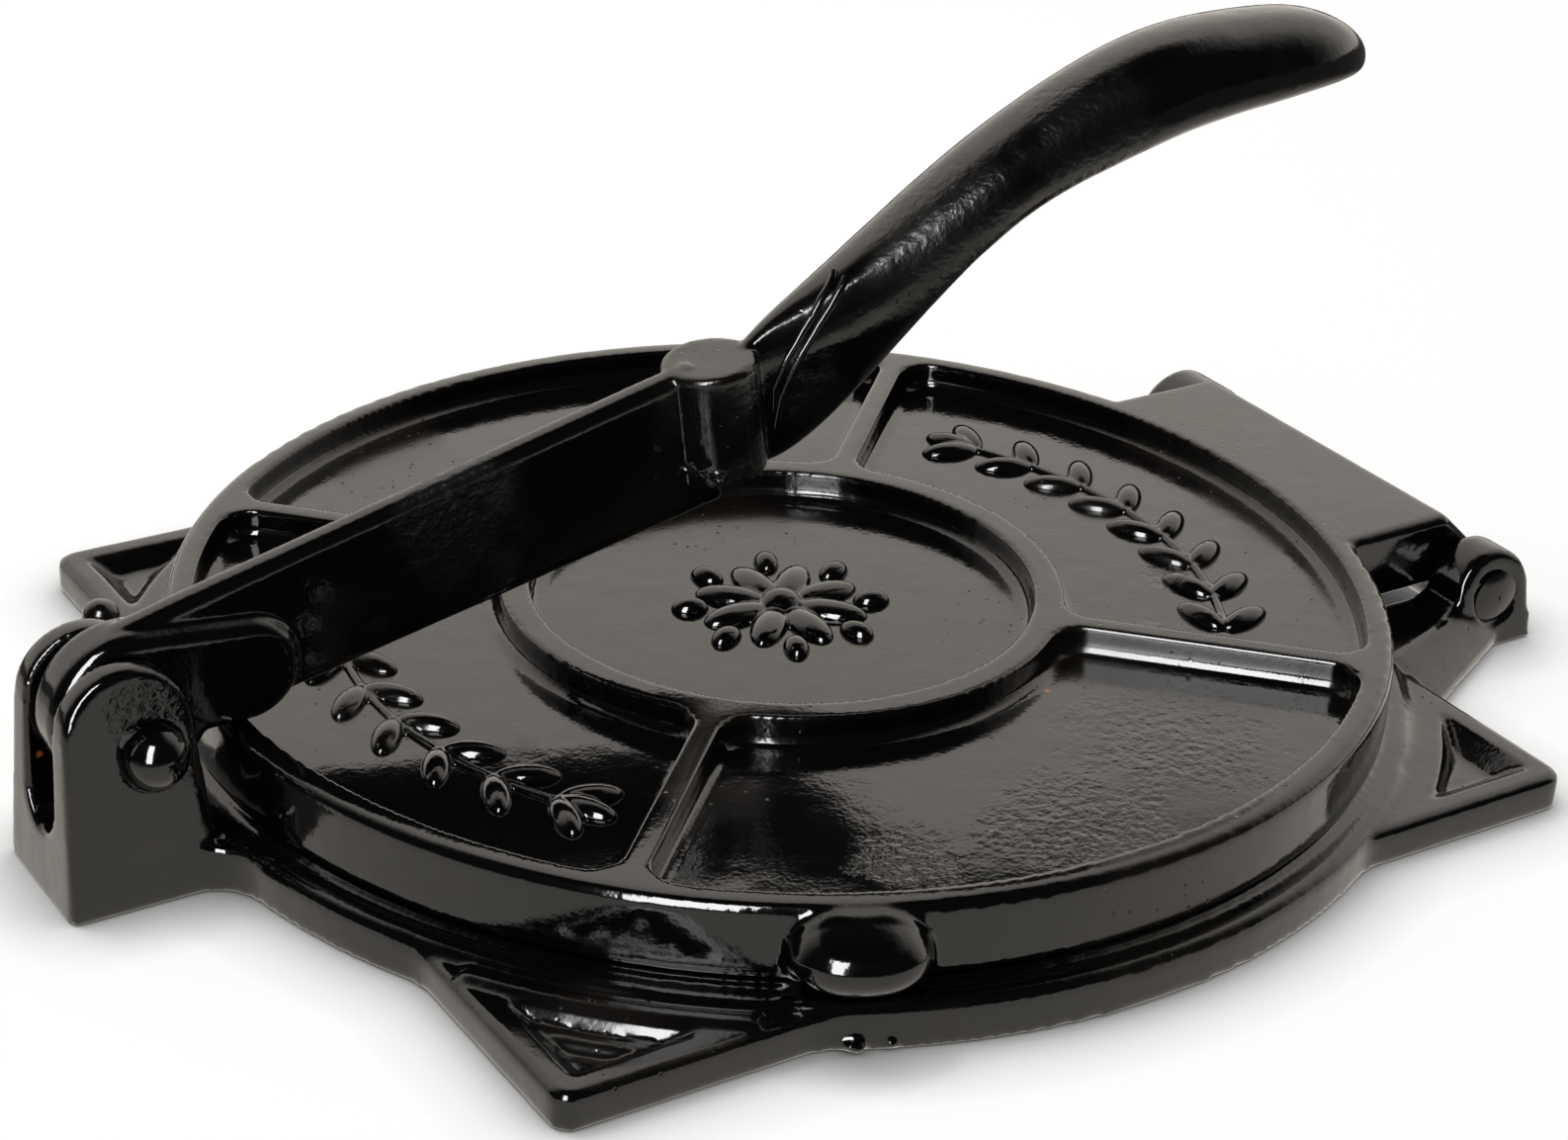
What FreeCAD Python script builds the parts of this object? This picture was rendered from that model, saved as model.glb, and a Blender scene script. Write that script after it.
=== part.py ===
import FreeCAD, Part
import math
import os
from types import SimpleNamespace

import Sketcher
from FreeCAD import Placement, Rotation, Vector

# Cast-iron tortilla press, in millimetres. The press stands on the plane z = 0 with the middle of
# its plates on the z axis. The hinge of the top plate lies at +x and the clevis of the lever at -x.

doc = FreeCAD.newDocument("tortilla_press")
sheet = doc.addObject("Spreadsheet::Sheet", "Sizes")

# Driving dimensions
sizes = {
    # base: round bed, raised pressing face, relief under it
    "bed_ledge": 4.3,
    "bed_height": 7.5,
    "bed_edge_round": 2.0,
    "face_inset": 0.5,
    "face_rise": 1.0,
    "relief_hub": 24.0,
    "relief_border": 15.0,
    "relief_rib": 7.0,
    "relief_depth": 3.6,
    "relief_corner": 6.0,
    # feet: a square plate under the bed, whose corners stand out
    "foot_inset": 12.8,
    "foot_height": 6.0,
    "foot_tip_round": 3.5,
    "foot_edge_round": 1.3,
    "foot_root_round": 12.0,
    "foot_border": 4.4,
    "foot_pocket_ring": 5.0,
    "foot_pocket_depth": 3.0,
    "foot_pocket_slope": 3.4,
    "foot_pocket_ring_slope": 1.9,
    # clevis that carries the lever
    "clevis_overhang": 24.7,
    "clevis_foot_half": 13.0,
    "clevis_head_half": 9.6,
    "clevis_shoulder": 28.2,
    "clevis_round": 10.0,
    "clevis_end_angle": 2.4,
    "clevis_inner_angle": 6.5,
    "clevis_edge_round": 1.2,
    "clevis_flare_rise": 3.0,
    "clevis_flare_run": 3.2,
    "clevis_flare_round": 9.0,
    "clevis_flare_half": 11.4,
    "clevis_root_round": 9.0,
    "slot_clearance": 0.65,
    "slot_floor_clearance": 0.9,
    # hinge ears on the base
    "hinge_pin_overhang": 15.2,
    "hinge_pin_height": 9.0,
    "ear_round": 8.2,
    "ear_thickness": 8.0,
    "far_ear_thickness": 12.0,
    "ear_draft": 2.6,
    "ear_edge_round": 1.2,
    "ear_lip": 0.3,
    "ear_lip_height": 4.6,
    "ear_flare_round": 9.0,
    "ear_flare_run": 6.0,
    "arm_inset": 34.0,
    "arm_skirt_height": 2.8,
    "arm_skirt_run": 14.7,
    "arm_shelf": 5.0,
    # top plate
    "plate_radius": 100.0,
    "plate_height": 12.2,
    "plate_gap": 0.3,
    "plate_top_round": 1.6,
    "plate_bottom_round": 1.0,
    "rim_width": 4.5,
    "rib_width": 4.0,
    "pocket_depth": 5.0,
    "pocket_corner": 5.5,
    "pocket_floor_round": 1.8,
    "ring_inner": 41.5,
    "ring_width": 5.0,
    "nub_angle": 115.7,
    "nub_half_width": 10.6,
    "nub_overhang": 10.3,
    "nub_corner": 9.4,
    "nub_top_round": 7.6,
    "nub_bottom_round": 2.5,
    "nub_top_step": 0.4,
    # hinge tongue of the top plate
    "tongue_half_width": 33.6,
    "tongue_side_clearance": 0.9,
    "tongue_angle": 43.0,
    "tongue_edge_round": 1.5,
    "barrel_radius": 6.3,
    # lever
    "lever_pin_overhang": 10.1,
    "lever_pin_height": 24.3,
    "lever_angle": 13.7,
    "lever_swing_angle": 100.0,
    "eye_radius": 12.9,
    "eye_rise": 3.1,
    "eye_thickness": 9.2,
    "eye_edge_round": 2.6,
    "heel_radius": 8.5,
    "heel_arm": 18.4,
    "heel_clearance": 0.3,
    "web_thickness": 4.8,
    "web_edge_round": 1.8,
    "web_top": 16.0,
    "web_end_top": 15.2,
    "web_start": 14.0,
    "web_start_drop": 6.1,
    "web_end_drop": 9.5,
    "boss_angle": 8.0,
    "boss_radius": 7.7,
    "boss_offset": 15.5,
    "boss_rise": 39.1,
    "boss_length": 19.3,
    "boss_edge_round": 0.8,
    "handle_offset": 16.4,
    "handle_start": 29.7,
    "handle_reach": 128.8,
    "handle_rise": 41.6,
    "handle_half_width": 10.5,
    "handle_crown": 12.0,
    # pins
    "lever_pin_radius": 2.8,
    "lever_pin_head_radius": 4.7,
    "lever_pin_head_side": 3.2,
    "lever_pin_head_height": 3.2,
    "lever_pin_bend": 3.2,
    "lever_pin_tail": 13.9,
    "lever_pin_tail_height": 13.4,
    "lever_pin_tail_angle": 12.5,
    "hinge_pin_radius": 3.2,
    "hinge_pin_head_radius": 4.6,
    "hinge_pin_head_height": 0.8,
    "pin_running_clearance": 0.06,
    "pin_seat_clearance": 0.02,
    "head_seat_depth": 0.9,
    # how far a cut runs past the surface it opens
    "overrun": 2.0,
}

for row, (alias, number) in enumerate(sizes.items(), start=1):
    sheet.set(f"A{row}", alias)
    sheet.set(f"B{row}", str(number))
    sheet.setAlias(f"B{row}", alias)
doc.recompute()


class Term:
    # A named size or a sum of them: its number now, and the formula that the document keeps

    def __init__(self, now, formula):
        self.now = now
        self.formula = formula

    def __add__(self, other):
        return joined(self, "+", other)

    def __radd__(self, other):
        return joined(other, "+", self)

    def __sub__(self, other):
        return joined(self, "-", other)

    def __rsub__(self, other):
        return joined(other, "-", self)

    def __mul__(self, other):
        return joined(self, "*", other)

    def __rmul__(self, other):
        return joined(other, "*", self)

    def __truediv__(self, other):
        return joined(self, "/", other)

    def __neg__(self):
        return Term(-self.now, f"(-{self.formula})")


def asTerm(value):
    return value if isinstance(value, Term) else Term(float(value), repr(float(value)))


def joined(left, sign, right):
    left, right = asTerm(left), asTerm(right)
    results = {
        "+": lambda: left.now + right.now,
        "-": lambda: left.now - right.now,
        "*": lambda: left.now * right.now,
        "/": lambda: left.now / right.now,
    }
    return Term(results[sign](), f"({left.formula} {sign} {right.formula})")


def root(term):
    return Term(math.sqrt(term.now), f"sqrt({term.formula})")


def sine(term):
    return Term(math.sin(math.radians(term.now)), f"sin({term.formula})")


def cosine(term):
    return Term(math.cos(math.radians(term.now)), f"cos({term.formula})")


def tangent(term):
    return Term(math.tan(math.radians(term.now)), f"tan({term.formula})")


def leg(long_side, other_side):
    # Third side of a right triangle from its longest side and one other
    return root(long_side * long_side - other_side * other_side)


size = SimpleNamespace(**{name: Term(number, f"Sizes.{name}") for name, number in sizes.items()})


def bind(item, path, term):
    item.setExpression(path, asTerm(term).formula)


def place(item, x=0, y=0, z=0, turn=0, axis=Vector(0, 0, 1)):
    # Every number of the placement follows the sheet
    item.Placement = Placement(Vector(0, 0, 0), Rotation(axis, asTerm(turn).now or 1.0))
    bind(item, "Placement.Base.x", x)
    bind(item, "Placement.Base.y", y)
    bind(item, "Placement.Base.z", z)
    bind(item, "Placement.Rotation.Angle", turn)


def newBody(name):
    return doc.addObject("PartDesign::Body", name)


def newSketch(body, name, plane, right=0, up=0, out=0):
    # Sketch on one of the body's own planes, its origin shifted within and out of that plane
    sketch = body.newObject("Sketcher::SketchObject", name)
    planes = {feature.Role: feature for feature in body.Origin.OriginFeatures}
    sketch.AttachmentSupport = [(planes[plane], "")]
    sketch.MapMode = "FlatFace"
    bind(sketch, "AttachmentOffset.Base.x", right)
    bind(sketch, "AttachmentOffset.Base.y", up)
    bind(sketch, "AttachmentOffset.Base.z", out)
    return sketch


def fix(sketch, kind, geometry, point, term):
    index = sketch.addConstraint(Sketcher.Constraint(kind, geometry, point, asTerm(term).now))
    bind(sketch, f"Constraints[{index}]", term)


def arcBetween(start, end, bend):
    # Arc under half a turn; its centre lies left of the way from start to end where bend is positive
    middle = (start + end) * 0.5
    half = (end - start).Length / 2
    radius = abs(bend)
    depth = math.sqrt(max(radius * radius - half * half, 0.0))
    left = Vector(start.y - end.y, end.x - start.x, 0).normalize()
    centre = middle + left * math.copysign(depth, bend)
    first, last = (start, end) if bend > 0 else (end, start)
    angles = [math.atan2(point.y - centre.y, point.x - centre.x) for point in (first, last)]
    return Part.ArcOfCircle(Part.Circle(centre, Vector(0, 0, 1), radius), *angles)


def outline(sketch, corners, closed=True):
    # A corner is (right, up), or (right, up, bend) where an arc of radius bend leads to the next one
    points = [Vector(asTerm(corner[0]).now, asTerm(corner[1]).now, 0) for corner in corners]
    count = len(corners) if closed else len(corners) - 1
    ends = []
    for number in range(count):
        start, end = points[number], points[(number + 1) % len(points)]
        bend = corners[number][2] if len(corners[number]) > 2 else None
        if bend is None:
            index = sketch.addGeometry(Part.LineSegment(start, end), False)
            first, last = 1, 2
        else:
            index = sketch.addGeometry(arcBetween(start, end, asTerm(bend).now), False)
            first, last = (1, 2) if asTerm(bend).now > 0 else (2, 1)
            radius = bend if asTerm(bend).now > 0 else -bend
            row = sketch.addConstraint(Sketcher.Constraint("Radius", index, abs(asTerm(bend).now)))
            bind(sketch, f"Constraints[{row}]", radius)
        ends.append((index, first, last))
    for number, (index, first, last) in enumerate(ends):
        fix(sketch, "DistanceX", index, first, corners[number][0])
        fix(sketch, "DistanceY", index, first, corners[number][1])
        following = ends[(number + 1) % len(ends)]
        if closed or number + 1 < len(ends):
            sketch.addConstraint(
                Sketcher.Constraint("Coincident", index, last, following[0], following[1]))
    if not closed:
        fix(sketch, "DistanceX", ends[-1][0], ends[-1][2], corners[-1][0])
        fix(sketch, "DistanceY", ends[-1][0], ends[-1][2], corners[-1][1])
    return sketch


def circle(sketch, radius):
    index = sketch.addGeometry(Part.Circle(Vector(0, 0, 0), Vector(0, 0, 1), radius.now), False)
    sketch.addConstraint(Sketcher.Constraint("Coincident", index, 3, -1, 1))
    row = sketch.addConstraint(Sketcher.Constraint("Radius", index, radius.now))
    bind(sketch, f"Constraints[{row}]", radius)
    return sketch


def pad(body, name, sketch, length, symmetric=False, reverse=False):
    feature = body.newObject("PartDesign::Pad", name)
    feature.Profile = sketch
    feature.SideType = "Symmetric" if symmetric else "One side"
    feature.Reversed = reverse
    bind(feature, "Length", length)
    return feature


def pocket(body, name, sketch, length, symmetric=False, reverse=False):
    feature = body.newObject("PartDesign::Pocket", name)
    feature.Profile = sketch
    feature.SideType = "Symmetric" if symmetric else "One side"
    feature.Reversed = reverse
    bind(feature, "Length", length)
    return feature


def spin(body, name, sketch, axis):
    feature = body.newObject("PartDesign::Revolution", name)
    feature.Profile = sketch
    feature.ReferenceAxis = (sketch, [axis])
    feature.Angle = 360.0
    return feature


def loft(body, name, kind, sketches):
    feature = body.newObject(kind, name)
    feature.Profile = sketches[0]
    feature.Sections = sketches[1:]
    feature.Ruled = True
    return feature


def roundEdges(body, name, radius, wanted):
    # Rounds the edges of the body's last feature that the test names
    doc.recompute()
    base = body.Tip
    edges = [f"Edge{number}" for number, edge in enumerate(base.Shape.Edges, start=1) if wanted(edge)]
    if not edges:
        raise RuntimeError(f"{name} finds no edge to round")
    feature = body.newObject("PartDesign::Fillet", name)
    feature.Base = (base, edges)
    bind(feature, "Radius", radius)
    return feature


def lies(edge, test):
    # True where both ends and the middle of the edge pass the test
    first, last = edge.ParameterRange
    return all(test(edge.valueAt(first + (last - first) * share)) for share in (0.0, 0.5, 1.0))


def near(one, other):
    return abs(one - asTerm(other).now) < 1e-4


def upright(edge):
    first, last = edge.ParameterRange
    way = edge.valueAt(last) - edge.valueAt(first)
    return abs(way.x) + abs(way.y) < 1e-4 and abs(way.z) > 1e-4


def fuse(name, items):
    feature = doc.addObject("Part::MultiFuse", name)
    feature.Shapes = items
    return feature


def cut(name, base, tool):
    feature = doc.addObject("Part::Cut", name)
    feature.Base = base
    feature.Tool = tool
    return feature


# Places that several pieces share
bed_radius = size.plate_radius + size.bed_ledge
face_top = size.bed_height + size.face_rise
plate_bottom = face_top + size.plate_gap
plate_top = plate_bottom + size.plate_height
pocket_floor = plate_top - size.pocket_depth
ring_outer = size.ring_inner + size.ring_width
clevis_end = -(bed_radius + size.clevis_overhang)
clevis_middle = (clevis_end + size.clevis_round / cosine(size.clevis_end_angle)
                 + size.clevis_shoulder * tangent(size.clevis_end_angle))
lever_pin_x = -(bed_radius + size.lever_pin_overhang)
hinge_pin_x = bed_radius + size.hinge_pin_overhang
slot_half = size.eye_thickness / 2 + size.slot_clearance
slot_floor = (size.lever_pin_height + size.eye_rise * cosine(size.lever_swing_angle)
              - size.eye_radius - size.slot_floor_clearance)
ear_inner = size.tongue_half_width + size.tongue_side_clearance
foot_span = bed_radius - size.foot_inset


def sectorTool(name, turn, inner, outer, rib, corner, bottom, depth, floor_round=None):
    # Block between two circles and two ribs, with rounded corners: what a recess takes away
    body = newBody(name)
    half = rib / 2
    slant = root(asTerm(2))
    near_leg, far_leg = leg(inner, half), leg(outer, half)
    corners = [
        ((near_leg + half) / slant, -(near_leg - half) / slant),
        ((far_leg + half) / slant, -(far_leg - half) / slant, outer),
        ((far_leg + half) / slant, (far_leg - half) / slant),
        ((near_leg + half) / slant, (near_leg - half) / slant, -inner),
    ]
    sketch = outline(newSketch(body, name + "_outline", "XY_Plane", out=bottom), corners)
    pad(body, name + "_block", sketch, depth)
    roundEdges(body, name + "_corners", corner, upright)
    if floor_round is not None:
        roundEdges(body, name + "_floor_edge", floor_round,
                   lambda edge: lies(edge, lambda point: near(point.z, bottom)))
    place(body, turn=turn)
    return body


def footBody(name, turn):
    # One corner of the square foot plate, with its three-sided recess
    body = newBody(name)
    span, tip, sweep = foot_span, size.foot_tip_round, size.foot_root_round
    reach = leg(bed_radius + sweep, span + sweep)
    touch = bed_radius / (bed_radius + sweep)
    corners = [
        ((span + sweep) * touch, reach * touch, -sweep),
        (span, reach),
        (span, span - tip, tip),
        (span - tip, span),
        (reach, span, -sweep),
        (reach * touch, (span + sweep) * touch),
    ]
    sketch = outline(newSketch(body, name + "_outline", "XY_Plane"), corners)
    pad(body, name + "_slab", sketch, size.foot_height)

    def rim(point):
        outside = max(point.x, point.y) > span.now - tip.now
        away = min(point.x, point.y) > reach.now - sweep.now and math.hypot(point.x, point.y) > bed_radius.now
        return near(point.z, size.foot_height) and outside and away

    roundEdges(body, name + "_rim", size.foot_edge_round, lambda edge: lies(edge, rim))
    rings = []
    for level, border, ring in (
            (size.foot_height, size.foot_border, size.foot_pocket_ring),
            (size.foot_height - size.foot_pocket_depth,
             size.foot_border + size.foot_pocket_slope,
             size.foot_pocket_ring + size.foot_pocket_ring_slope)):
        edge, radius = span - border, bed_radius + ring
        side = leg(radius, edge)
        corners = [(edge, side), (edge, edge), (side, edge, -radius)]
        sketch = newSketch(body, f"{name}_recess_{len(rings)}", "XY_Plane", out=level)
        rings.append(outline(sketch, corners))
    loft(body, name + "_recess", "PartDesign::SubtractiveLoft", rings)
    place(body, turn=turn)
    return body


def clevisBody():
    # Upright block with two ears, drafted at its sides and slotted for the lever
    body = newBody("clevis")
    crown, shoulder = size.clevis_round, size.clevis_shoulder
    outer, inner = size.clevis_end_angle, size.clevis_inner_angle
    inner_z = shoulder + crown * sine(inner)
    corners = [
        (clevis_end, 0),
        (clevis_middle + crown * cosine(inner) + inner_z * tangent(inner), 0),
        (clevis_middle + crown * cosine(inner), inner_z, crown),
        (clevis_middle, shoulder + crown, crown),
        (clevis_middle - crown * cosine(outer), shoulder + crown * sine(outer)),
    ]
    sketch = outline(newSketch(body, "clevis_side", "XZ_Plane"), corners)
    pad(body, "clevis_block", sketch, 2 * size.clevis_foot_half, symmetric=True)
    top = shoulder + crown
    wide = size.clevis_foot_half + size.overrun
    for side, word in ((1, "far"), (-1, "near")):
        corners = [
            (side * size.clevis_foot_half, 0),
            (side * wide, 0),
            (side * wide, top + size.overrun),
            (side * size.clevis_head_half, top + size.overrun),
            (side * size.clevis_head_half, top),
        ]
        sketch = outline(newSketch(body, f"clevis_draft_{word}", "YZ_Plane"), corners)
        pocket(body, f"clevis_side_{word}", sketch, -4 * clevis_end, symmetric=True)

    def flank(point):
        rise = point.z / top.now
        half = size.clevis_foot_half.now * (1 - rise) + size.clevis_head_half.now * rise
        return near(abs(point.y), half)

    roundEdges(body, "clevis_edges", size.clevis_edge_round,
               lambda edge: lies(edge, flank) and edge.CenterOfMass.z > 1e-4)
    return body


def clevisSlot():
    # What the lever's slot takes away, from the clevis and from the curve behind it
    body = newBody("clevis_slot")
    top = size.clevis_shoulder + size.clevis_round + size.overrun
    corners = [
        (-slot_half, top),
        (-slot_half, slot_floor + slot_half, slot_half),
        (0, slot_floor, slot_half),
        (slot_half, slot_floor + slot_half),
        (slot_half, top),
    ]
    sketch = outline(newSketch(body, "clevis_slot_outline", "YZ_Plane"), corners)
    pad(body, "clevis_slot_block", sketch, -4 * clevis_end, symmetric=True)
    return body


def clevisFlare():
    # Hollow curve from the clevis down to the bed, behind the slot
    body = newBody("clevis_flare")
    top = slot_floor + size.clevis_flare_rise
    back = clevis_middle + size.clevis_round + (size.clevis_shoulder - top) * tangent(size.clevis_inner_angle)
    corners = [
        (clevis_middle, 0),
        (back + size.clevis_flare_run, 0),
        (back + size.clevis_flare_run, size.bed_height, -size.clevis_flare_round),
        (back, top),
        (clevis_middle, top),
    ]
    sketch = outline(newSketch(body, "clevis_flare_side", "XZ_Plane"), corners)
    pad(body, "clevis_flare_block", sketch, 2 * size.clevis_flare_half, symmetric=True)
    return body


def clevisRoot():
    # Low arm that spreads from the clevis into the bed, as wide as the drafted clevis is at its top
    body = newBody("clevis_root")
    sweep = size.clevis_root_round
    narrowing = (size.clevis_foot_half - size.clevis_head_half) * size.bed_height
    half = size.clevis_foot_half - narrowing / (size.clevis_shoulder + size.clevis_round)
    far = leg(bed_radius + sweep, half + sweep)
    touch = bed_radius / (bed_radius + sweep)
    inner = far * touch - 2 * size.bed_edge_round
    corners = [
        (clevis_middle, -half),
        (-far, -half, -sweep),
        (-far * touch, -(half + sweep) * touch),
        (-inner, -(half + sweep) * touch),
        (-inner, (half + sweep) * touch),
        (-far * touch, (half + sweep) * touch, -sweep),
        (-far, half),
        (clevis_middle, half),
    ]
    pad(body, "clevis_root_slab", outline(newSketch(body, "clevis_root_outline", "XY_Plane"), corners),
        size.bed_height)
    return body


def hingeEar(name, thickness):
    # Ear of the hinge with the arm that carries it, on the near side
    body = newBody(name)
    crown, height = size.ear_round, size.hinge_pin_height
    lip = hinge_pin_x + crown + size.ear_lip
    start = bed_radius - size.arm_inset / 2
    corners = [
        (start, 0),
        (lip, 0),
        (lip, size.ear_lip_height),
        (hinge_pin_x + crown, size.ear_lip_height + size.ear_lip),
        (hinge_pin_x + crown, height, crown),
        (hinge_pin_x, height + crown, crown),
        (hinge_pin_x - crown, height, -size.ear_flare_round),
        (hinge_pin_x - crown - size.ear_flare_run, size.bed_height),
        (start, size.bed_height),
    ]
    wide = ear_inner + thickness + size.ear_draft
    sketch = outline(newSketch(body, name + "_side", "XZ_Plane", out=ear_inner), corners)
    pad(body, name + "_block", sketch, wide - ear_inner)
    top = height + crown
    corners = [
        (-wide, 0),
        (-wide - size.overrun, 0),
        (-wide - size.overrun, top + size.overrun),
        (-(wide - size.ear_draft), top + size.overrun),
        (-(wide - size.ear_draft), top),
    ]
    sketch = outline(newSketch(body, name + "_draft", "YZ_Plane"), corners)
    pocket(body, name + "_draft_cut", sketch, 4 * lip, symmetric=True)

    def outer(point):
        return point.x > hinge_pin_x.now - crown.now + 1e-4 and point.z > height.now - 1e-4 and point.y < 0

    roundEdges(body, name + "_edges", size.ear_edge_round, lambda edge: lies(edge, outer))
    return body


def hingeSkirt(name, thickness):
    # Low gusset between the arm and the foot, its top sloping up to the arm
    body = newBody(name)
    wide = ear_inner + thickness + size.ear_draft
    start = bed_radius - size.arm_inset / 2
    foot = wide + size.arm_skirt_run
    lower = [
        (start, -ear_inner),
        (hinge_pin_x, -ear_inner),
        (hinge_pin_x, -wide),
        (foot_span, -foot),
        (start, -foot),
    ]
    upper = [
        (start, -ear_inner),
        (hinge_pin_x - size.arm_shelf, -ear_inner),
        (hinge_pin_x - size.arm_shelf, -(wide - size.ear_draft)),
        (foot_span, -(wide + size.arm_shelf)),
        (start, -(wide + size.arm_shelf)),
    ]
    sketch = outline(newSketch(body, name + "_outline", "XY_Plane"), lower)
    pad(body, name + "_slab", sketch, size.arm_skirt_height)
    rings = [
        outline(newSketch(body, name + "_low", "XY_Plane", out=size.arm_skirt_height), lower),
        outline(newSketch(body, name + "_high", "XY_Plane", out=size.bed_height), upper),
    ]
    loft(body, name + "_slope", "PartDesign::AdditiveLoft", rings)
    return body


def mirrored(name, source):
    feature = doc.addObject("Part::Mirroring", name)
    feature.Source = source
    feature.Normal = Vector(0, 1, 0)
    return feature


def crossBore(name, x, z, radius, half_length):
    # Cylinder along y that clears a pin
    bore = doc.addObject("Part::Cylinder", name)
    bind(bore, "Radius", radius)
    bind(bore, "Height", 2 * half_length)
    place(bore, x=x, y=half_length, z=z, turn=90, axis=Vector(1, 0, 0))
    return bore


def seatTool(name, x, z, radius, face, side):
    # Shallow spot face that a pin's head sits in, opening outwards on one side
    tool = doc.addObject("Part::Cylinder", name)
    bind(tool, "Radius", radius)
    bind(tool, "Height", 4 * size.overrun)
    far = face + 4 * size.overrun if side > 0 else -face
    place(tool, x=x, y=far, z=z, turn=90, axis=Vector(1, 0, 0))
    return tool


# Faces that the pins' heads sit on: a little inside the drafted sides, at the pin's height
clevis_draft = (size.clevis_foot_half - size.clevis_head_half) / (size.clevis_shoulder + size.clevis_round)
lever_seat = size.clevis_foot_half - clevis_draft * size.lever_pin_height - size.head_seat_depth
ear_slope = size.ear_draft / (size.hinge_pin_height + size.ear_round)
hinge_seat = (ear_inner + size.ear_thickness + size.ear_draft - ear_slope * size.hinge_pin_height
              - size.head_seat_depth)
far_hinge_seat = hinge_seat + size.far_ear_thickness - size.ear_thickness


def makeBase():
    bed = newBody("bed")
    face_radius = size.plate_radius - size.face_inset
    edge = size.bed_edge_round
    corners = [
        (0, 0),
        (bed_radius, 0),
        (bed_radius, size.bed_height - edge, edge),
        (bed_radius - edge, size.bed_height),
        (face_radius, size.bed_height),
        (face_radius, face_top),
        (0, face_top),
    ]
    spin(bed, "bed_disc", outline(newSketch(bed, "bed_profile", "XZ_Plane"), corners), "V_Axis")
    feet = [footBody(f"foot_{number + 1}", 90 * number) for number in range(4)]
    castings = [bed, *feet, clevisBody(), clevisFlare(), clevisRoot()]
    near_thickness, far_thickness = size.ear_thickness, size.far_ear_thickness
    castings += [hingeEar("near_ear", near_thickness), hingeSkirt("near_skirt", near_thickness)]
    castings += [mirrored("far_ear", hingeEar("far_ear_pattern", far_thickness)),
                 mirrored("far_skirt", hingeSkirt("far_skirt_pattern", far_thickness))]
    solid = fuse("base_casting", castings)
    relief = [
        sectorTool(f"relief_{number + 1}", 90 * number, size.relief_hub,
                   bed_radius - size.relief_border, size.relief_rib, size.relief_corner,
                   -size.overrun, size.overrun + size.relief_depth)
        for number in range(4)]
    fit = size.pin_seat_clearance
    far = 2 * bed_radius
    lever_head = size.lever_pin_head_radius + size.pin_running_clearance
    hinge_head = size.hinge_pin_head_radius + size.pin_running_clearance
    tools = relief + [
        clevisSlot(),
        crossBore("clevis_bore", lever_pin_x, size.lever_pin_height, size.lever_pin_radius + fit, far),
        crossBore("ear_bore", hinge_pin_x, size.hinge_pin_height, size.hinge_pin_radius + fit, far),
        seatTool("clevis_seat", lever_pin_x, size.lever_pin_height, lever_head, lever_seat, -1),
        seatTool("ear_seat_near", hinge_pin_x, size.hinge_pin_height, hinge_head, hinge_seat, -1),
        seatTool("ear_seat_far", hinge_pin_x, size.hinge_pin_height, hinge_head, far_hinge_seat, 1),
    ]
    return cut("base", solid, fuse("base_cuts", tools))


def thumbNub():
    # Rounded lug on the rim that a finger lifts the plate by
    body = newBody("nub")
    wide, corner = size.nub_half_width, size.nub_corner
    back = size.plate_radius - size.rim_width / 2
    front = size.plate_radius + size.nub_overhang
    corners = [
        (back, -wide),
        (front - corner, -wide, corner),
        (front, -wide + corner),
        (front, wide - corner, corner),
        (front - corner, wide),
        (back, wide),
    ]
    top = plate_top - size.nub_top_step
    sketch = outline(newSketch(body, "nub_outline", "XY_Plane", out=plate_bottom), corners)
    pad(body, "nub_block", sketch, top - plate_bottom)

    def outside(edge):
        return not lies(edge, lambda point: near(point.x, back))

    roundEdges(body, "nub_top_edge", size.nub_top_round,
               lambda edge: outside(edge) and lies(edge, lambda point: near(point.z, top)))
    roundEdges(body, "nub_bottom_edge", size.nub_bottom_round,
               lambda edge: outside(edge) and lies(edge, lambda point: near(point.z, plate_bottom)))
    place(body, turn=-size.nub_angle)
    return body


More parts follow.
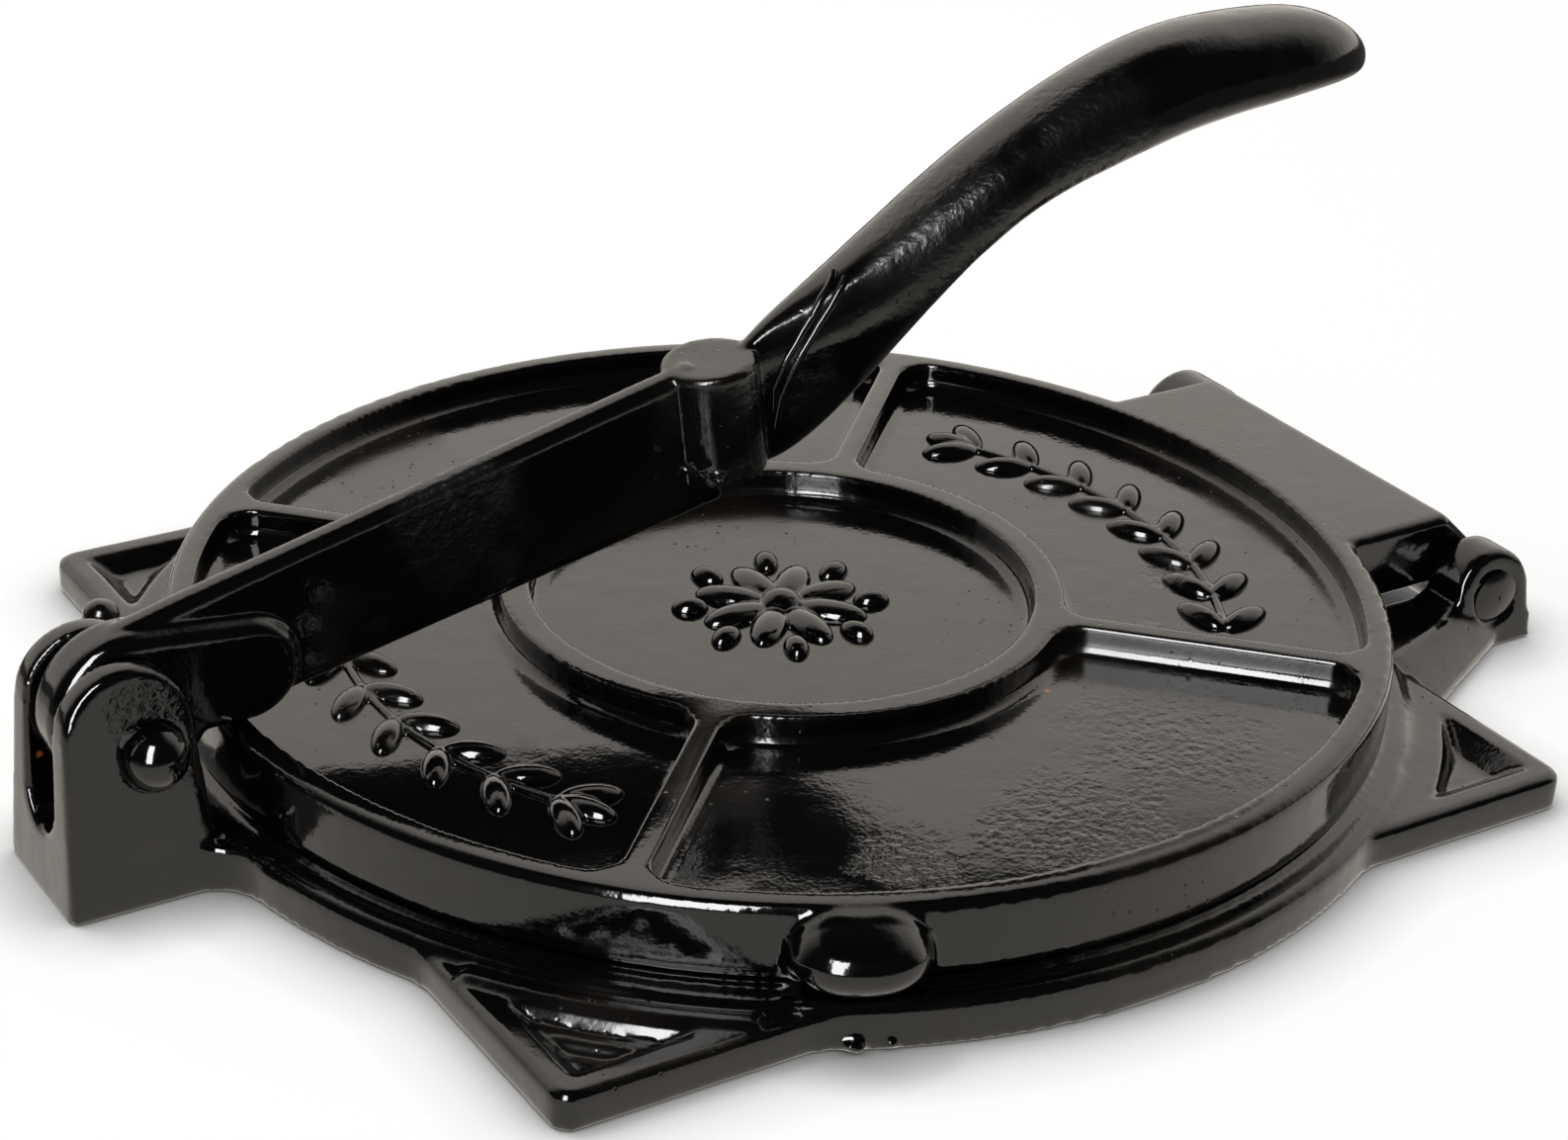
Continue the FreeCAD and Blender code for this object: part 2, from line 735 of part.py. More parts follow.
def makeTopPlate():
    disc = newBody("plate_disc")
    crown, foot = size.plate_top_round, size.plate_bottom_round
    corners = [
        (0, plate_bottom),
        (size.plate_radius - foot, plate_bottom, foot),
        (size.plate_radius, plate_bottom + foot),
        (size.plate_radius, plate_top - crown, crown),
        (size.plate_radius - crown, plate_top),
        (0, plate_top),
    ]
    sketch = outline(newSketch(disc, "plate_profile", "XZ_Plane"), corners)
    spin(disc, "plate_blank", sketch, "V_Axis")

    tongue = newBody("tongue")
    barrel, height = size.barrel_radius, size.hinge_pin_height
    slope = size.tongue_angle
    start = leg(size.plate_radius - size.rim_width, size.tongue_half_width)
    touch_x = hinge_pin_x + barrel * sine(slope)
    touch_z = height + barrel * cosine(slope)
    flat_end = touch_x - (plate_top - touch_z) * cosine(slope) / sine(slope)
    corners = [
        (start, plate_bottom),
        (hinge_pin_x - leg(barrel, plate_bottom - height), plate_bottom, barrel),
        (hinge_pin_x, height - barrel, barrel),
        (hinge_pin_x + barrel, height, barrel),
        (touch_x, touch_z),
        (flat_end, plate_top),
        (start, plate_top),
    ]
    sketch = outline(newSketch(tongue, "tongue_side", "XZ_Plane"), corners)
    pad(tongue, "tongue_block", sketch, 2 * size.tongue_half_width, symmetric=True)

    def ridge(point):
        across = near(abs(point.y), size.tongue_half_width)
        crest = near(point.z, plate_top) and near(point.x, flat_end)
        return crest or (across and point.z > touch_z.now - 1e-4)

    def ridgeEdge(edge):
        return lies(edge, ridge) and edge.CenterOfMass.x > start.now + 1e-3

    roundEdges(tongue, "tongue_edges", size.tongue_edge_round, ridgeEdge)

    pockets = [
        sectorTool(f"plate_pocket_{number + 1}", 90 * number, ring_outer,
                   size.plate_radius - size.rim_width, size.rib_width, size.pocket_corner,
                   pocket_floor, size.pocket_depth + size.overrun, size.pocket_floor_round)
        for number in range(4)]
    well = newBody("centre_pocket")
    soft = size.pocket_floor_round
    corners = [
        (0, pocket_floor),
        (size.ring_inner - soft, pocket_floor, soft),
        (size.ring_inner, pocket_floor + soft),
        (size.ring_inner, plate_top + size.overrun),
        (0, plate_top + size.overrun),
    ]
    spin(well, "centre_well", outline(newSketch(well, "well_profile", "XZ_Plane"), corners), "V_Axis")
    bore = crossBore("barrel_bore", hinge_pin_x, height,
                     size.hinge_pin_radius + size.pin_running_clearance, 2 * size.tongue_half_width)
    solid = fuse("plate_casting", [disc, tongue, thumbNub()])
    return cut("top_plate", solid, fuse("plate_cuts", [*pockets, well, bore]))


# Stations of the handle from the boss to the tip. Each gives where its middle lies along the reach
# and the rise, then its half width, its height above the middle and its depth below the middle.
handle_shares = [
    (0.034, 0.00, 0.27, 0.50, 0.88),
    (0.112, 0.08, 0.37, 0.88, 1.00),
    (0.205, 0.26, 0.65, 0.84, 0.76),
    (0.314, 0.51, 0.82, 0.70, 0.53),
    (0.438, 0.745, 0.89, 0.68, 0.46),
    (0.570, 0.88, 0.95, 0.88, 0.44),
    (0.694, 0.965, 1.00, 0.95, 0.40),
    (0.811, 0.995, 0.98, 0.89, 0.35),
    (0.896, 1.00, 0.86, 0.78, 0.29),
    (0.958, 0.985, 0.60, 0.56, 0.20),
    (0.998, 0.97, 0.24, 0.26, 0.09),
]
handle_points = 24
handle_roundness_share = 0.87


def handleShape(begin):
    # Smooth skin through rounded sections that stand square to the handle's own line
    reach, rise = size.handle_reach.now, size.handle_rise.now
    half, crown = size.handle_half_width.now, size.handle_crown.now
    middles = [begin + Vector(along * reach, 0, up * rise) for along, up, *_ in handle_shares]
    line = Part.BSplineCurve()
    line.interpolate(middles)
    sections = []
    for middle, (_, _, wide, high, deep) in zip(middles, handle_shares):
        way = line.tangent(line.parameter(middle))[0]
        lift = way.cross(Vector(0, 1, 0)).normalize()
        if lift.z < 0:
            lift = -lift
        points = []
        for number in range(handle_points):
            angle = 2 * math.pi * number / handle_points
            flat, tall = math.cos(angle), math.sin(angle)
            across = math.copysign(abs(flat) ** handle_roundness_share, flat) * wide * half
            height = math.copysign(abs(tall) ** handle_roundness_share, tall) * (high if tall > 0 else deep) * crown
            points.append(middle + Vector(0, across, 0) + lift * height)
        section = Part.BSplineCurve()
        section.interpolate(points, PeriodicFlag=True)
        sections.append(Part.Wire(section.toShape()))
    return Part.makeLoft(sections, True, False)


def heelBlock():
    # Block that presses on the plate's rim, flat below and rounded beyond the rim
    eye, heel, rise, arm = size.eye_radius, size.heel_radius, size.eye_rise, size.heel_arm
    sole = plate_top + size.heel_clearance - size.lever_pin_height
    climb = sole + heel - rise
    apart = root(arm * arm + climb * climb)
    lean = (eye - heel) / apart
    stand = root(1 - lean * lean)
    way = (arm / apart, climb / apart)
    across = (lean * way[0] - stand * way[1], lean * way[1] + stand * way[0])
    body = newBody("heel")
    corners = [
        (0, sole),
        (arm, sole, heel),
        (arm + heel, sole + heel, heel),
        (arm + heel * across[0], sole + heel + heel * across[1]),
        (eye * across[0], rise + eye * across[1]),
    ]
    sketch = outline(newSketch(body, "heel_outline", "XZ_Plane"), corners)
    pad(body, "heel_block", sketch, size.eye_thickness, symmetric=True)
    side = size.eye_thickness / 2
    roundEdges(body, "heel_edges", size.eye_edge_round,
               lambda edge: lies(edge, lambda point: near(abs(point.y), side) and point.x > 1e-4))
    place(body, x=lever_pin_x, z=size.lever_pin_height)
    return body


def eyeDisc():
    # Round end of the lever, its middle a little above the pin
    body = newBody("eye")
    side, soft, eye = size.eye_thickness / 2, size.eye_edge_round, size.eye_radius
    corners = [
        (0, -side),
        (eye - soft, -side, soft),
        (eye, -(side - soft)),
        (eye, side - soft, soft),
        (eye - soft, side),
        (0, side),
    ]
    spin(body, "eye_disc", outline(newSketch(body, "eye_profile", "XZ_Plane"), corners), "V_Axis")
    place(body, x=lever_pin_x, z=size.lever_pin_height + size.eye_rise, turn=90, axis=Vector(1, 0, 0))
    return body


def makeLever():
    # The web is drawn along the lever's slope, from the pin
    slope = size.lever_angle
    web = newBody("web")
    boss_along = (-lever_pin_x - size.boss_offset) / cosine(slope)
    corners = [
        (size.web_start, -size.web_start_drop),
        (boss_along, -size.web_end_drop),
        (boss_along, size.web_end_top),
        (size.web_start, size.web_top),
        (size.eye_rise * sine(slope), size.eye_rise * cosine(slope) + size.eye_radius),
    ]
    sketch = outline(newSketch(web, "web_outline", "XZ_Plane"), corners)
    pad(web, "web_block", sketch, size.web_thickness, symmetric=True)
    side = size.web_thickness / 2

    def longEdge(edge):
        return lies(edge, lambda point: near(abs(point.y), side)) and not lies(
            edge, lambda point: near(point.x, boss_along))

    roundEdges(web, "web_edges", size.web_edge_round, longEdge)
    place(web, x=lever_pin_x, z=size.lever_pin_height, turn=-slope, axis=Vector(0, 1, 0))

    boss = newBody("boss")
    soft = size.boss_edge_round
    corners = [
        (0, -size.boss_length),
        (size.boss_radius, -size.boss_length),
        (size.boss_radius, -soft, soft),
        (size.boss_radius - soft, 0),
        (0, 0),
    ]
    spin(boss, "boss_post", outline(newSketch(boss, "boss_profile", "XZ_Plane"), corners), "V_Axis")
    place(boss, x=-size.boss_offset, z=size.lever_pin_height + size.boss_rise,
          turn=-size.boss_angle, axis=Vector(0, 1, 0))

    handle = doc.addObject("Part::Feature", "handle")
    start_z = size.lever_pin_height + size.handle_start
    handle.Shape = handleShape(Vector(-size.handle_offset.now, 0, start_z.now))

    bore = crossBore("eye_bore", lever_pin_x, size.lever_pin_height,
                     size.lever_pin_radius + size.pin_running_clearance, size.eye_thickness)
    return cut("lever", fuse("lever_casting", [eyeDisc(), heelBlock(), web, boss, handle]), bore)


pin_tip_share = 0.9


def makeLeverPin():
    # Rivet head on the near side, rod through both ears, its far end turned up and leaning
    body = newBody("lever_pin")
    radius, bend, tail = size.lever_pin_radius, size.lever_pin_bend, size.lever_pin_tail
    spine = newSketch(body, "lever_pin_line", "YZ_Plane")
    outline(spine, [
        (-lever_seat, 0),
        (tail - bend, 0, bend),
        (tail, bend),
        (tail, size.lever_pin_tail_height),
    ], closed=False)
    ring = newSketch(body, "lever_pin_section", "XZ_Plane", out=lever_seat)
    circle(ring, radius)
    rod = body.newObject("PartDesign::AdditivePipe", "lever_pin_rod")
    rod.Profile = ring
    rod.Spine = (spine, [])
    head = size.lever_pin_head_radius
    tall = size.lever_pin_head_height
    rim = lever_seat + size.lever_pin_head_side
    dome = (head * head + tall * tall) / (2 * tall)
    sketch = newSketch(body, "lever_pin_head_profile", "YZ_Plane")
    outline(sketch, [
        (-lever_seat, 0),
        (-lever_seat, head),
        (-rim, head, dome),
        (-(rim + tall), 0),
    ])
    spin(body, "lever_pin_head", sketch, "H_Axis")
    roundEdges(body, "lever_pin_tip", radius * pin_tip_share,
               lambda edge: lies(edge, lambda point: near(point.z, size.lever_pin_tail_height)))
    place(body, x=lever_pin_x, z=size.lever_pin_height, turn=size.lever_pin_tail_angle,
          axis=Vector(0, 1, 0))
    return body


def makeHingePin():
    # Plain rod, peened over into a low head at both ends; the far ear is the thicker one
    body = newBody("hinge_pin")
    radius, head, tall = size.hinge_pin_radius, size.hinge_pin_head_radius, size.hinge_pin_head_height
    side = size.head_seat_depth
    dome = (head * head + tall * tall) / (2 * tall)
    sketch = newSketch(body, "hinge_pin_profile", "YZ_Plane", up=size.hinge_pin_height, out=hinge_pin_x)
    outline(sketch, [
        (-(hinge_seat + side + tall), 0),
        (far_hinge_seat + side + tall, 0, dome),
        (far_hinge_seat + side, head),
        (far_hinge_seat, head),
        (far_hinge_seat, radius),
        (-hinge_seat, radius),
        (-hinge_seat, head),
        (-(hinge_seat + side), head, dome),
    ])
    spin(body, "hinge_pin_rod", sketch, "H_Axis")
    return body


nodes = {
    "base": makeBase(),
    "top_plate": makeTopPlate(),
    "lever": makeLever(),
    "lever_pin": makeLeverPin(),
    "hinge_pin": makeHingePin(),
}
doc.recompute()

for item in doc.Objects:
    if "Invalid" in item.State or "Error" in item.State:
        raise RuntimeError(f"{item.Name} did not build: {item.State}")

os.makedirs("parts", exist_ok=True)
for name, item in nodes.items():
    item.Label = name
    if item.Shape.isNull() or not item.Shape.isValid():
        raise RuntimeError(f"{name} has no valid shape")
    box = item.Shape.optimalBoundingBox(False)
    print(name, "solids", len(item.Shape.Solids), "volume", round(item.Shape.Volume),
          "x", round(box.XMin, 2), round(box.XMax, 2), "y", round(box.YMin, 2), round(box.YMax, 2),
          "z", round(box.ZMin, 2), round(box.ZMax, 2))
    item.Shape.exportStep(f"parts/{name}.step")
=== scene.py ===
import math

import bmesh
import bpy
from mathutils import Matrix, Vector, noise
from mathutils.bvhtree import BVHTree


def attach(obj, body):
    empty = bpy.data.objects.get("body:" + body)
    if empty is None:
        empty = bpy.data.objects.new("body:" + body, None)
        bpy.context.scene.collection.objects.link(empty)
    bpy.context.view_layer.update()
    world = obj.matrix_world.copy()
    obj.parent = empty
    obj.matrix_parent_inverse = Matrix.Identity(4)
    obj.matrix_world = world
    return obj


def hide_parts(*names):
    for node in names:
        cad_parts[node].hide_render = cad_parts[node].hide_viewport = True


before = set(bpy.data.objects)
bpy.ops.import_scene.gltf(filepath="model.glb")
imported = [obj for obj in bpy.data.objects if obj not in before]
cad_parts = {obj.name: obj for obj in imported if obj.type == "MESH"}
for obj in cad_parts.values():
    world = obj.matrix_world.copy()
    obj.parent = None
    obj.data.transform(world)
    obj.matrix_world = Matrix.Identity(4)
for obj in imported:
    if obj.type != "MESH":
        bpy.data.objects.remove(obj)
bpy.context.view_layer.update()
scene = bpy.context.scene
print("frame loaded:", ", ".join(sorted(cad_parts)))

mm = 0.001
smooth = {"interpolation_type": "SMOOTHSTEP"}      # setting of every Map Range node that fades something


def linear(hexColour):
    # sRGB hex to the linear values that shaders take
    channels = [int(hexColour[i:i + 2], 16) / 255 for i in (1, 3, 5)]
    return [c / 12.92 if c <= 0.04045 else ((c + 0.055) / 1.055) ** 2.4 for c in channels] + [1]


def addNode(tree, kind, settings=None, **links):
    # One node: settings are its own properties, links go to inputs by name or number. A link is a value, a
    # socket, or a tuple of sockets that all join one input
    node = tree.nodes.new(kind)
    for name, value in (settings or {}).items():
        setattr(node, name, value)
    for name, value in links.items():
        numbered = name[0] == "i" and name[1:].isdigit()
        plug = node.inputs[int(name[1:]) if numbered else name.replace("_", " ")]
        several = isinstance(value, tuple) and isinstance(value[0], bpy.types.NodeSocket)
        for source in value if several else (value,):
            if isinstance(source, bpy.types.NodeSocket):
                tree.links.new(source, plug)
            else:
                plug.default_value = source
    return node


def newMaterial(name):
    material = bpy.data.materials.new(name)
    material.use_nodes = True
    material.node_tree.nodes.clear()
    return material, material.node_tree


def newObject(name, data):
    thing = bpy.data.objects.new(name, data)
    scene.collection.objects.link(thing)
    return thing


# Camera, matched to the press's own circles and axes
camera = {
    "position": (-0.27089, -0.41418, 0.27256),
    "azimuth": -33.216,      # degrees round the press
    "elevation": 26.797,     # degrees above the table
    "roll": 2.585,
    "lens": 77.51,           # mm
    "sensor": 36,            # mm
    "nearest": 0.01,
}


def makeCamera():
    azimuth, elevation, roll = (math.radians(camera[key]) for key in ("azimuth", "elevation", "roll"))
    level = math.cos(elevation)
    back = Vector((math.sin(azimuth) * level, -math.cos(azimuth) * level, math.sin(elevation)))
    right = Vector((0, 0, 1)).cross(back).normalized()
    up = back.cross(right)
    rolledRight = right * math.cos(roll) + up * math.sin(roll)
    rolledUp = up * math.cos(roll) - right * math.sin(roll)
    data = bpy.data.cameras.new("pressCamera")
    data.sensor_width = camera["sensor"]
    data.lens = camera["lens"]
    data.clip_start = camera["nearest"]
    viewer = newObject("pressCamera", data)
    viewer.location = camera["position"]
    viewer.rotation_euler = Matrix((rolledRight, rolledUp, back)).transposed().to_euler()
    scene.camera = viewer
    scene.view_settings.view_transform = "Standard"


makeCamera()
print("camera placed")

# Studio: a white backdrop behind the press, a dim room on the other sides, a key light and a tall softbox
studio = {
    "paper": "#f4f3f1",
    "white": "#ffffff",
    "glowTint": "#fff8ee",
    "backdropGlow": 1.45,             # what gloss sees of the lit backdrop
    "roomGlow": 0.024,                # what gloss sees of the rest of the room
    "ceilingShare": 0.02,
    "fill": 0.78,                     # what lights the matt part of a surface
    "backdropHeading": (0.548, 0.837, 0.0),
    "backdropSides": (-0.10, 0.50),   # cosines of the turn from that heading, over which it fades in
    "backdropTop": (0.80, 0.94),      # sines of the heights, over which it fades out
    "floorSize": 6.0,
    "floorDrop": 0.0002,
    "floorGlow": 1.0,
    "floorGlowReach": (0.16, 0.34),   # m from the press's middle, over which the painted pool of light on the floor ends
    "farFloorGlow": 0.10,
    "shadowShare": 0.30,
    "creviceReach": 0.014,            # m, how near the press has to be for the painted shade that darkens the floor's glow
    "creviceSamples": 8,
    "creviceDepth": 2.0,
}
# Of each lamp, matt says whether it lights matt surfaces, gloss whether it shows in reflections
lamps = {
    "keyLight": {"place": (-0.30, 0.35, 1.05), "size": (0.45, 0.45), "watts": 6.0,
                 "matt": True, "gloss": False},
    "softboxLeft": {"place": (-0.548, -0.504, 0.438), "size": (0.268, 0.878), "watts": 17.0,
                    "matt": False, "gloss": True},
}


def makeWorld():
    world = bpy.data.worlds.new("studioWorld")
    scene.world = world
    world.use_nodes = True
    tree = world.node_tree
    tree.nodes.clear()
    rays = addNode(tree, "ShaderNodeLightPath").outputs
    heading = addNode(tree, "ShaderNodeTexCoord").outputs["Generated"]
    parts = addNode(tree, "ShaderNodeSeparateXYZ", Vector=heading)
    facing = addNode(tree, "ShaderNodeVectorMath", {"operation": "DOT_PRODUCT"}, i0=heading,
                     i1=studio["backdropHeading"])
    sides, top = studio["backdropSides"], studio["backdropTop"]
    side = addNode(tree, "ShaderNodeMapRange", smooth, Value=facing.outputs["Value"], From_Min=sides[0],
                   From_Max=sides[1], To_Min=studio["roomGlow"], To_Max=studio["backdropGlow"])
    height = addNode(tree, "ShaderNodeMapRange", smooth, Value=parts.outputs["Z"], From_Min=top[0],
                     From_Max=top[1], To_Min=1.0, To_Max=studio["ceilingShare"])
    glow = addNode(tree, "ShaderNodeMath", {"operation": "MULTIPLY"}, i0=side.outputs["Result"],
                   i1=height.outputs["Result"])
    glossy = addNode(tree, "ShaderNodeBackground", Color=linear(studio["glowTint"]), Strength=glow.outputs[0])
    fill = addNode(tree, "ShaderNodeBackground", Color=linear(studio["white"]), Strength=studio["fill"])
    white = addNode(tree, "ShaderNodeBackground", Color=linear(studio["white"]), Strength=1.0)
    light = addNode(tree, "ShaderNodeMixShader", Fac=rays["Is Glossy Ray"], i1=fill.outputs[0],
                    i2=glossy.outputs[0])
    sight = addNode(tree, "ShaderNodeMath", {"operation": "MAXIMUM"}, i0=rays["Is Camera Ray"],
                    i1=rays["Is Transmission Ray"])
    whole = addNode(tree, "ShaderNodeMixShader", Fac=sight.outputs[0], i1=light.outputs[0],
                    i2=white.outputs[0])
    addNode(tree, "ShaderNodeOutputWorld", Surface=whole.outputs[0])


def makeFloor():
    reach, level = studio["floorSize"] / 2, -studio["floorDrop"]
    corners = [(x * reach, y * reach, level) for x, y in ((-1, -1), (1, -1), (1, 1), (-1, 1))]
    mesh = bpy.data.meshes.new("studioFloor")
    mesh.from_pydata(corners, [], [(0, 1, 2, 3)])
    floor = newObject("studioFloor", mesh)
    # Seamless photo paper: matt, pale, no pattern that shows. The glow the camera sees on it carries painted
    # shade near the press, and reflections see a painted pool of light round it
    paper, tree = newMaterial("mattPhotoPaper")
    rays = addNode(tree, "ShaderNodeLightPath").outputs
    place = addNode(tree, "ShaderNodeTexCoord").outputs["Object"]
    away = addNode(tree, "ShaderNodeVectorMath", {"operation": "LENGTH"}, i0=place)
    # Painted pool of light: reflections see the floor glow brightly round the press and dimly further out
    near, far = studio["floorGlowReach"]
    glow = addNode(tree, "ShaderNodeMapRange", smooth, Value=away.outputs["Value"], From_Min=near,
                   From_Max=far, To_Min=studio["floorGlow"], To_Max=studio["farFloorGlow"])
    # Painted shade: ambient occlusion darkens the floor's glow close under and beside the press
    paintedShade = addNode(tree, "ShaderNodeAmbientOcclusion", {"samples": studio["creviceSamples"]},
                      Distance=studio["creviceReach"])
    openness = addNode(tree, "ShaderNodeMath", {"operation": "POWER"}, i0=paintedShade.outputs["AO"],
                       i1=studio["creviceDepth"])
    matt = addNode(tree, "ShaderNodeBsdfDiffuse", Color=linear(studio["paper"]))
    plain = addNode(tree, "ShaderNodeEmission", Color=linear(studio["white"]), Strength=openness.outputs[0])
    lit = addNode(tree, "ShaderNodeEmission", Color=linear(studio["glowTint"]),
                  Strength=glow.outputs["Result"])
    seen = addNode(tree, "ShaderNodeMixShader", Fac=studio["shadowShare"], i1=plain.outputs[0],
                   i2=matt.outputs[0])
    reflected = addNode(tree, "ShaderNodeMixShader", Fac=rays["Is Glossy Ray"], i1=matt.outputs[0],
                        i2=lit.outputs[0])
    whole = addNode(tree, "ShaderNodeMixShader", Fac=rays["Is Camera Ray"], i1=reflected.outputs[0],
                    i2=seen.outputs[0])
    addNode(tree, "ShaderNodeOutputMaterial", Surface=whole.outputs[0])
    mesh.materials.append(paper)


def makeLamp(name, spec):
    data = bpy.data.lights.new(name, "AREA")
    data.shape = "RECTANGLE"
    data.size, data.size_y = spec["size"]
    data.energy = spec["watts"]
    lamp = newObject(name, data)
    lamp.location = spec["place"]
    lamp.rotation_euler = (-Vector(spec["place"])).to_track_quat("-Z", "Y").to_euler()
    lamp.visible_camera = False
    lamp.visible_diffuse = spec["matt"]
    lamp.visible_glossy = spec["gloss"]


makeWorld()
makeFloor()
for name, spec in lamps.items():
    makeLamp(name, spec)
print("studio lit")

# Finishes. Sizes and heights are in mm, and each size is the distance from one lump to the next
enamel = {
    "black": "#060506",
    "brown": "#0d0a07",          # where the enamel is thin over the iron
    "rust": "#8a4a1c",
    "roughness": 0.085,
    "wornRoughness": 0.20,
    "ior": 1.5,
    "peelSize": 3.2,             # waves of the fired coat
    "peelHeight": 0.040,
    "peelDetail": 1.5,
    "sandSize": 0.8,             # grains of the moulding sand, as coarse as they need to be to show
    "sandHeight": 0.020,
    "sandDetail": 2.0,
    "pitSize": 2.4,
    "pitHeight": 0.10,
    "pitReach": 0.17,            # share of the pits' spacing that a pit takes
    "patchSize": 30.0,           # rougher patches, which carry the pits
    "patchDetail": 3.0,
    "patchSpan": (0.50, 0.66),
    "scabSize": 1.5,             # scabs of a torn mould face
    "scabHeight": 0.24,
    "scabDetail": 3.0,
    "raggedSize": 6.0,           # how a torn region's edge wanders
    "raggedDetail": 3.0,
    "speckSize": 0.6,            # how a rust speck's edge wanders
    "speckDetail": 2.0,
    "edgeSpread": 1.6,           # a region's outer edge, as a share of its reach
}


def makeEnamel(name, peel=1.0, sand=1.0, scabs=(), specks=(), tornDullness=0.0):
    # Gloss enamel fired on sand-cast iron: the eye sees a deep black glass skin, with slow waves in it, grains
    # of sand under it, and pits in its worn patches
    material, tree = newMaterial(name)
    place = addNode(tree, "ShaderNodeTexCoord").outputs["Object"]
    kinds = ["peel", "sand", "patch"] + ["ragged", "scab"] * bool(scabs) + ["speck"] * bool(specks)
    noises = {kind: addNode(tree, "ShaderNodeTexNoise", Vector=place, Scale=1 / (enamel[kind + "Size"] * mm),
                            Detail=enamel[kind + "Detail"]).outputs["Fac"] for kind in kinds}

    def within(centre, reach, ragged):
        # 1 inside a round region with a ragged edge, 0 outside
        away = addNode(tree, "ShaderNodeVectorMath", {"operation": "DISTANCE"}, i0=place,
                       i1=[c * mm for c in centre])
        edge = addNode(tree, "ShaderNodeMath", {"operation": "MULTIPLY_ADD"}, i0=ragged, i1=reach * mm,
                       i2=away.outputs["Value"])
        fade = addNode(tree, "ShaderNodeMapRange", smooth, Value=edge.outputs[0], From_Min=reach * mm,
                       From_Max=enamel["edgeSpread"] * reach * mm, To_Min=1.0, To_Max=0.0)
        return fade.outputs["Result"]

    low, high = enamel["patchSpan"]
    worn = addNode(tree, "ShaderNodeMapRange", smooth, Value=noises["patch"], From_Min=low,
                   From_Max=high).outputs["Result"]
    pits = addNode(tree, "ShaderNodeTexVoronoi", Vector=place, Scale=1 / (enamel["pitSize"] * mm))
    pit = addNode(tree, "ShaderNodeMapRange", smooth, Value=pits.outputs["Distance"], From_Min=0.0,
                  From_Max=enamel["pitReach"]).outputs["Result"]
    # Each layer of relief: its height, where it shows and its share of the height in the table
    layers = {"peel": (noises["peel"], 1.0, peel), "sand": (noises["sand"], 1.0, sand), "pit": (pit, worn, 1.0)}
    dull = worn
    if scabs:
        torn, *others = [within(centre, reach, noises["ragged"]) for centre, reach in scabs]
        for region in others:
            torn = addNode(tree, "ShaderNodeMath", {"operation": "MAXIMUM"}, i0=torn, i1=region).outputs[0]
        layers["scab"] = (noises["scab"], torn, 1.0)
        dull = addNode(tree, "ShaderNodeMath", {"operation": "MULTIPLY_ADD"}, i0=torn, i1=tornDullness,
                       i2=worn).outputs[0]
    surface = {}
    for kind, (height, strength, share) in layers.items():
        bump = addNode(tree, "ShaderNodeBump", Strength=strength, Height=height,
                       Distance=enamel[kind + "Height"] * mm * share, **surface)
        surface["Normal"] = bump.outputs[0]
    colour = addNode(tree, "ShaderNodeMix", {"data_type": "RGBA"}, Factor=worn, i6=linear(enamel["black"]),
                     i7=linear(enamel["brown"]))
    for centre, reach in specks:
        colour = addNode(tree, "ShaderNodeMix", {"data_type": "RGBA"}, i6=colour.outputs[2],
                         Factor=within(centre, reach, noises["speck"]), i7=linear(enamel["rust"]))
    gloss = addNode(tree, "ShaderNodeMapRange", {"clamp": False}, Value=dull, To_Min=enamel["roughness"],
                    To_Max=enamel["wornRoughness"])
    glaze = addNode(tree, "ShaderNodeBsdfPrincipled", Base_Color=colour.outputs[2], IOR=enamel["ior"],
                    Roughness=gloss.outputs["Result"], **surface)
    addNode(tree, "ShaderNodeOutputMaterial", Surface=glaze.outputs[0])
    return material


# Torn regions and rust specks: middle and reach in mm
plateScabs = [((30, -66, 16), 20), ((2, -80, 16), 18), ((-26, -76, 16), 10), ((64, -22, 17), 6),
              ((48, -36, 17), 6)]
plateSpecks = [((-10.5, -75.3, 16), 0.35), ((22.1, -44.5, 16.6), 0.9)]
baseScabs = [((-116, -12, 32), 6), ((-112, -12, 34), 7), ((-105, -12, 24), 6), ((-104, -12, 14), 4)]
baseSpecks = [((-126, 5.2, 19.3), 0.6)]
leverScabs = [((26, -9, 80), 17), ((50, -9, 93), 15), ((2, -8, 54), 9), ((-12, -9, 44), 7),
              ((-60, -4, 46), 14)]
finishes = {
    "enamelledCasting": makeEnamel("fusedEnamelOnSandCastBase", scabs=baseScabs, specks=baseSpecks),
    "enamelledPlate": makeEnamel("fusedEnamelOnSandCastPlate", peel=0.8, scabs=plateScabs,
                                 specks=plateSpecks),
    "enamelledLever": makeEnamel("fusedEnamelOnSandCastLever", scabs=leverScabs, tornDullness=1.6),
    # Gloss paint dipped over turned steel: as black and wet as the enamel, but nearly smooth
    "paintedPin": makeEnamel("glossPaintOnSteelPin", peel=0.4, sand=0.3),
}
print("finishes made")


def modify(thing, kind, **settings):
    modifier = thing.modifiers.new(kind.lower(), kind)
    for name, value in settings.items():
        setattr(modifier, name, value)
    return modifier


def settle(thing):
    # The evaluated mesh as a plain one, with no modifier left
    graph = bpy.context.evaluated_depsgraph_get()
    mesh = bpy.data.meshes.new_from_object(thing.evaluated_get(graph))
    if thing.type == "CURVE":
        name = thing.name
        bpy.data.objects.remove(thing)
        return newObject(name, mesh)
    thing.modifiers.clear()
    thing.data = mesh
    return thing


def joinInto(thing, extras):
    shell = bmesh.new()
    shell.from_mesh(thing.data)
    for extra in extras:
        shell.from_mesh(extra.data)
        bpy.data.objects.remove(extra)
    shell.to_mesh(thing.data)
    shell.free()


def finishPiece(thing, finish, body):
    thing.data.materials.clear()
    thing.data.materials.append(finishes[finish])
    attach(thing, body)
    print(thing.name, len(thing.data.polygons), "faces")


